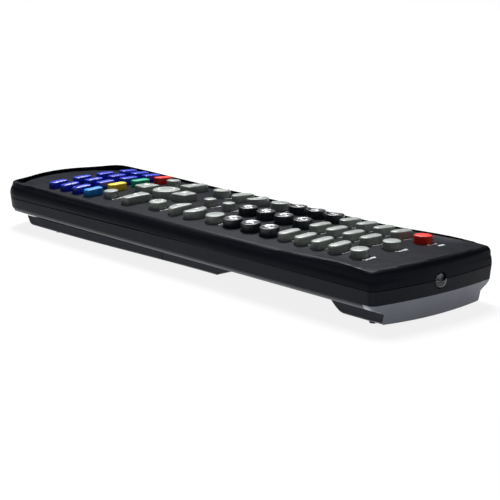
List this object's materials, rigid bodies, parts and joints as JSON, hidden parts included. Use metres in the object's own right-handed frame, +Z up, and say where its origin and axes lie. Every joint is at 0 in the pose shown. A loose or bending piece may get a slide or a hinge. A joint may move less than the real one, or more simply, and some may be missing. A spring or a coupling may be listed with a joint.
{
  "type": "tv remote control",
  "caption": "Long slim handheld infrared remote control with round, stadium, arrow and colour keys, a sunken keypad face, a domed lamp in its end and a sliding battery cover.",
  "frame": {"origin": "middle of the bounding box, on the surface that the four pips stand on", "axes": "+X to the user's right, +Y out of the infrared end, +Z up through the keys"},
  "size_m": [0.0556, 0.209, 0.0213],
  "materials": {
    "upper_shell": "satin black moulded ABS with a fine texture",
    "lower_shell": "satin black moulded ABS with a fine texture",
    "grey_key": "grey moulded silicone",
    "digit_key": "black moulded silicone with white figures",
    "red_key": "red moulded silicone",
    "green_key": "green moulded silicone",
    "yellow_key": "yellow moulded silicone",
    "light_blue_key": "light blue moulded silicone",
    "blue_key": "dark blue moulded silicone",
    "mat": "matt moulded silicone",
    "board": "green solder mask on glass fibre board",
    "chip": "black moulded epoxy",
    "lamp_lens": "clear moulded epoxy",
    "light_guide": "clear to milky moulded plastic",
    "cell": "printed film sleeve over steel",
    "contact": "nickel plated spring steel",
    "screw": "zinc plated steel"
  },
  "bodies": {
    "root": {"batteries": "cell", "battery_contacts": "contact", "board_components": "chip", "bottom_housing": "lower_shell", "circuit_board": "board", "housing_screw": "screw", "indicator_led": "light_guide", "ir_led": "lamp_lens", "keypad_mat": "mat", "top_housing": "upper_shell"},
    "aspect_key": {"aspect_key": "grey_key"},
    "blue_key": {"blue_key": "light_blue_key"},
    "channel_down_key": {"channel_down_key": "grey_key"},
    "channel_up_key": {"channel_up_key": "grey_key"},
    "digit_0_key": {"digit_0_key": "digit_key"},
    "digit_1_key": {"digit_1_key": "digit_key"},
    "digit_2_key": {"digit_2_key": "digit_key"},
    "digit_3_key": {"digit_3_key": "digit_key"},
    "digit_4_key": {"digit_4_key": "digit_key"},
    "digit_5_key": {"digit_5_key": "digit_key"},
    "digit_6_key": {"digit_6_key": "digit_key"},
    "digit_7_key": {"digit_7_key": "digit_key"},
    "digit_8_key": {"digit_8_key": "digit_key"},
    "digit_9_key": {"digit_9_key": "digit_key"},
    "display_key": {"display_key": "grey_key"},
    "exit_key": {"exit_key": "grey_key"},
    "function_key_1": {"function_key_1": "grey_key"},
    "function_key_10": {"function_key_10": "grey_key"},
    "function_key_11": {"function_key_11": "grey_key"},
    "function_key_12": {"function_key_12": "grey_key"},
    "function_key_2": {"function_key_2": "grey_key"},
    "function_key_3": {"function_key_3": "grey_key"},
    "function_key_4": {"function_key_4": "grey_key"},
    "function_key_5": {"function_key_5": "grey_key"},
    "function_key_6": {"function_key_6": "grey_key"},
    "function_key_7": {"function_key_7": "grey_key"},
    "function_key_8": {"function_key_8": "grey_key"},
    "function_key_9": {"function_key_9": "grey_key"},
    "green_key": {"green_key": "green_key"},
    "guide_key": {"guide_key": "grey_key"},
    "list_key": {"list_key": "grey_key"},
    "menu_key": {"menu_key": "grey_key"},
    "mute_key": {"mute_key": "grey_key"},
    "nav_down_key": {"nav_down_key": "grey_key"},
    "nav_left_key": {"nav_left_key": "grey_key"},
    "nav_right_key": {"nav_right_key": "grey_key"},
    "nav_up_key": {"nav_up_key": "grey_key"},
    "ok_key": {"ok_key": "grey_key"},
    "power_key": {"power_key": "red_key"},
    "recall_key": {"recall_key": "grey_key"},
    "red_key": {"red_key": "red_key"},
    "return_key": {"return_key": "grey_key"},
    "source_key": {"source_key": "grey_key"},
    "text_row_1_keys": {"text_row_1_keys": "blue_key"},
    "text_row_2_keys": {"text_row_2_keys": "blue_key"},
    "text_row_3_keys": {"text_row_3_keys": "blue_key"},
    "volume_down_key": {"volume_down_key": "grey_key"},
    "volume_up_key": {"volume_up_key": "grey_key"},
    "yellow_key": {"yellow_key": "yellow_key"},
    "battery_cover": {"battery_cover": "lower_shell"}
  },
  "joints": [
    {"name": "aspect_key_press", "type": "slide", "parent": "root", "child": "aspect_key", "axis": [0, 0, -1], "range_m": [0, 0.0008], "stiffness_N_per_m": 400, "springref_m": -0.0005},
    {"name": "blue_key_press", "type": "slide", "parent": "root", "child": "blue_key", "axis": [0, 0, -1], "range_m": [0, 0.0008], "stiffness_N_per_m": 400, "springref_m": -0.0005},
    {"name": "channel_down_key_press", "type": "slide", "parent": "root", "child": "channel_down_key", "axis": [0, 0, -1], "range_m": [0, 0.0008], "stiffness_N_per_m": 400, "springref_m": -0.0005},
    {"name": "channel_up_key_press", "type": "slide", "parent": "root", "child": "channel_up_key", "axis": [0, 0, -1], "range_m": [0, 0.0008], "stiffness_N_per_m": 400, "springref_m": -0.0005},
    {"name": "digit_0_key_press", "type": "slide", "parent": "root", "child": "digit_0_key", "axis": [0, 0, -1], "range_m": [0, 0.0008], "stiffness_N_per_m": 400, "springref_m": -0.0005},
    {"name": "digit_1_key_press", "type": "slide", "parent": "root", "child": "digit_1_key", "axis": [0, 0, -1], "range_m": [0, 0.0008], "stiffness_N_per_m": 400, "springref_m": -0.0005},
    {"name": "digit_2_key_press", "type": "slide", "parent": "root", "child": "digit_2_key", "axis": [0, 0, -1], "range_m": [0, 0.0008], "stiffness_N_per_m": 400, "springref_m": -0.0005},
    {"name": "digit_3_key_press", "type": "slide", "parent": "root", "child": "digit_3_key", "axis": [0, 0, -1], "range_m": [0, 0.0008], "stiffness_N_per_m": 400, "springref_m": -0.0005},
    {"name": "digit_4_key_press", "type": "slide", "parent": "root", "child": "digit_4_key", "axis": [0, 0, -1], "range_m": [0, 0.0008], "stiffness_N_per_m": 400, "springref_m": -0.0005},
    {"name": "digit_5_key_press", "type": "slide", "parent": "root", "child": "digit_5_key", "axis": [0, 0, -1], "range_m": [0, 0.0008], "stiffness_N_per_m": 400, "springref_m": -0.0005},
    {"name": "digit_6_key_press", "type": "slide", "parent": "root", "child": "digit_6_key", "axis": [0, 0, -1], "range_m": [0, 0.0008], "stiffness_N_per_m": 400, "springref_m": -0.0005},
    {"name": "digit_7_key_press", "type": "slide", "parent": "root", "child": "digit_7_key", "axis": [0, 0, -1], "range_m": [0, 0.0008], "stiffness_N_per_m": 400, "springref_m": -0.0005},
    {"name": "digit_8_key_press", "type": "slide", "parent": "root", "child": "digit_8_key", "axis": [0, 0, -1], "range_m": [0, 0.0008], "stiffness_N_per_m": 400, "springref_m": -0.0005},
    {"name": "digit_9_key_press", "type": "slide", "parent": "root", "child": "digit_9_key", "axis": [0, 0, -1], "range_m": [0, 0.0008], "stiffness_N_per_m": 400, "springref_m": -0.0005},
    {"name": "display_key_press", "type": "slide", "parent": "root", "child": "display_key", "axis": [0, 0, -1], "range_m": [0, 0.0008], "stiffness_N_per_m": 400, "springref_m": -0.0005},
    {"name": "exit_key_press", "type": "slide", "parent": "root", "child": "exit_key", "axis": [0, 0, -1], "range_m": [0, 0.0008], "stiffness_N_per_m": 400, "springref_m": -0.0005},
    {"name": "function_key_1_press", "type": "slide", "parent": "root", "child": "function_key_1", "axis": [0, 0, -1], "range_m": [0, 0.0008], "stiffness_N_per_m": 400, "springref_m": -0.0005},
    {"name": "function_key_10_press", "type": "slide", "parent": "root", "child": "function_key_10", "axis": [0, 0, -1], "range_m": [0, 0.0008], "stiffness_N_per_m": 400, "springref_m": -0.0005},
    {"name": "function_key_11_press", "type": "slide", "parent": "root", "child": "function_key_11", "axis": [0, 0, -1], "range_m": [0, 0.0008], "stiffness_N_per_m": 400, "springref_m": -0.0005},
    {"name": "function_key_12_press", "type": "slide", "parent": "root", "child": "function_key_12", "axis": [0, 0, -1], "range_m": [0, 0.0008], "stiffness_N_per_m": 400, "springref_m": -0.0005},
    {"name": "function_key_2_press", "type": "slide", "parent": "root", "child": "function_key_2", "axis": [0, 0, -1], "range_m": [0, 0.0008], "stiffness_N_per_m": 400, "springref_m": -0.0005},
    {"name": "function_key_3_press", "type": "slide", "parent": "root", "child": "function_key_3", "axis": [0, 0, -1], "range_m": [0, 0.0008], "stiffness_N_per_m": 400, "springref_m": -0.0005},
    {"name": "function_key_4_press", "type": "slide", "parent": "root", "child": "function_key_4", "axis": [0, 0, -1], "range_m": [0, 0.0008], "stiffness_N_per_m": 400, "springref_m": -0.0005},
    {"name": "function_key_5_press", "type": "slide", "parent": "root", "child": "function_key_5", "axis": [0, 0, -1], "range_m": [0, 0.0008], "stiffness_N_per_m": 400, "springref_m": -0.0005},
    {"name": "function_key_6_press", "type": "slide", "parent": "root", "child": "function_key_6", "axis": [0, 0, -1], "range_m": [0, 0.0008], "stiffness_N_per_m": 400, "springref_m": -0.0005},
    {"name": "function_key_7_press", "type": "slide", "parent": "root", "child": "function_key_7", "axis": [0, 0, -1], "range_m": [0, 0.0008], "stiffness_N_per_m": 400, "springref_m": -0.0005},
    {"name": "function_key_8_press", "type": "slide", "parent": "root", "child": "function_key_8", "axis": [0, 0, -1], "range_m": [0, 0.0008], "stiffness_N_per_m": 400, "springref_m": -0.0005},
    {"name": "function_key_9_press", "type": "slide", "parent": "root", "child": "function_key_9", "axis": [0, 0, -1], "range_m": [0, 0.0008], "stiffness_N_per_m": 400, "springref_m": -0.0005},
    {"name": "green_key_press", "type": "slide", "parent": "root", "child": "green_key", "axis": [0, 0, -1], "range_m": [0, 0.0008], "stiffness_N_per_m": 400, "springref_m": -0.0005},
    {"name": "guide_key_press", "type": "slide", "parent": "root", "child": "guide_key", "axis": [0, 0, -1], "range_m": [0, 0.0008], "stiffness_N_per_m": 400, "springref_m": -0.0005},
    {"name": "list_key_press", "type": "slide", "parent": "root", "child": "list_key", "axis": [0, 0, -1], "range_m": [0, 0.0008], "stiffness_N_per_m": 400, "springref_m": -0.0005},
    {"name": "menu_key_press", "type": "slide", "parent": "root", "child": "menu_key", "axis": [0, 0, -1], "range_m": [0, 0.0008], "stiffness_N_per_m": 400, "springref_m": -0.0005},
    {"name": "mute_key_press", "type": "slide", "parent": "root", "child": "mute_key", "axis": [0, 0, -1], "range_m": [0, 0.0008], "stiffness_N_per_m": 400, "springref_m": -0.0005},
    {"name": "nav_down_key_press", "type": "slide", "parent": "root", "child": "nav_down_key", "axis": [0, 0, -1], "range_m": [0, 0.0008], "stiffness_N_per_m": 400, "springref_m": -0.0005},
    {"name": "nav_left_key_press", "type": "slide", "parent": "root", "child": "nav_left_key", "axis": [0, 0, -1], "range_m": [0, 0.0008], "stiffness_N_per_m": 400, "springref_m": -0.0005},
    {"name": "nav_right_key_press", "type": "slide", "parent": "root", "child": "nav_right_key", "axis": [0, 0, -1], "range_m": [0, 0.0008], "stiffness_N_per_m": 400, "springref_m": -0.0005},
    {"name": "nav_up_key_press", "type": "slide", "parent": "root", "child": "nav_up_key", "axis": [0, 0, -1], "range_m": [0, 0.0008], "stiffness_N_per_m": 400, "springref_m": -0.0005},
    {"name": "ok_key_press", "type": "slide", "parent": "root", "child": "ok_key", "axis": [0, 0, -1], "range_m": [0, 0.0008], "stiffness_N_per_m": 400, "springref_m": -0.0005},
    {"name": "power_key_press", "type": "slide", "parent": "root", "child": "power_key", "axis": [0, 0, -1], "range_m": [0, 0.0008], "stiffness_N_per_m": 400, "springref_m": -0.0005},
    {"name": "recall_key_press", "type": "slide", "parent": "root", "child": "recall_key", "axis": [0, 0, -1], "range_m": [0, 0.0008], "stiffness_N_per_m": 400, "springref_m": -0.0005},
    {"name": "red_key_press", "type": "slide", "parent": "root", "child": "red_key", "axis": [0, 0, -1], "range_m": [0, 0.0008], "stiffness_N_per_m": 400, "springref_m": -0.0005},
    {"name": "return_key_press", "type": "slide", "parent": "root", "child": "return_key", "axis": [0, 0, -1], "range_m": [0, 0.0008], "stiffness_N_per_m": 400, "springref_m": -0.0005},
    {"name": "source_key_press", "type": "slide", "parent": "root", "child": "source_key", "axis": [0, 0, -1], "range_m": [0, 0.0008], "stiffness_N_per_m": 400, "springref_m": -0.0005},
    {"name": "text_row_1_keys_press", "type": "slide", "parent": "root", "child": "text_row_1_keys", "axis": [0, 0, -1], "range_m": [0, 0.0008], "stiffness_N_per_m": 400, "springref_m": -0.0005},
    {"name": "text_row_2_keys_press", "type": "slide", "parent": "root", "child": "text_row_2_keys", "axis": [0, 0, -1], "range_m": [0, 0.0008], "stiffness_N_per_m": 400, "springref_m": -0.0005},
    {"name": "text_row_3_keys_press", "type": "slide", "parent": "root", "child": "text_row_3_keys", "axis": [0, 0, -1], "range_m": [0, 0.0008], "stiffness_N_per_m": 400, "springref_m": -0.0005},
    {"name": "volume_down_key_press", "type": "slide", "parent": "root", "child": "volume_down_key", "axis": [0, 0, -1], "range_m": [0, 0.0008], "stiffness_N_per_m": 400, "springref_m": -0.0005},
    {"name": "volume_up_key_press", "type": "slide", "parent": "root", "child": "volume_up_key", "axis": [0, 0, -1], "range_m": [0, 0.0008], "stiffness_N_per_m": 400, "springref_m": -0.0005},
    {"name": "yellow_key_press", "type": "slide", "parent": "root", "child": "yellow_key", "axis": [0, 0, -1], "range_m": [0, 0.0008], "stiffness_N_per_m": 400, "springref_m": -0.0005},
    {"name": "battery_cover_slide", "type": "slide", "parent": "root", "child": "battery_cover", "axis": [0, -1, 0], "range_m": [0, 0.008]}
  ]
}
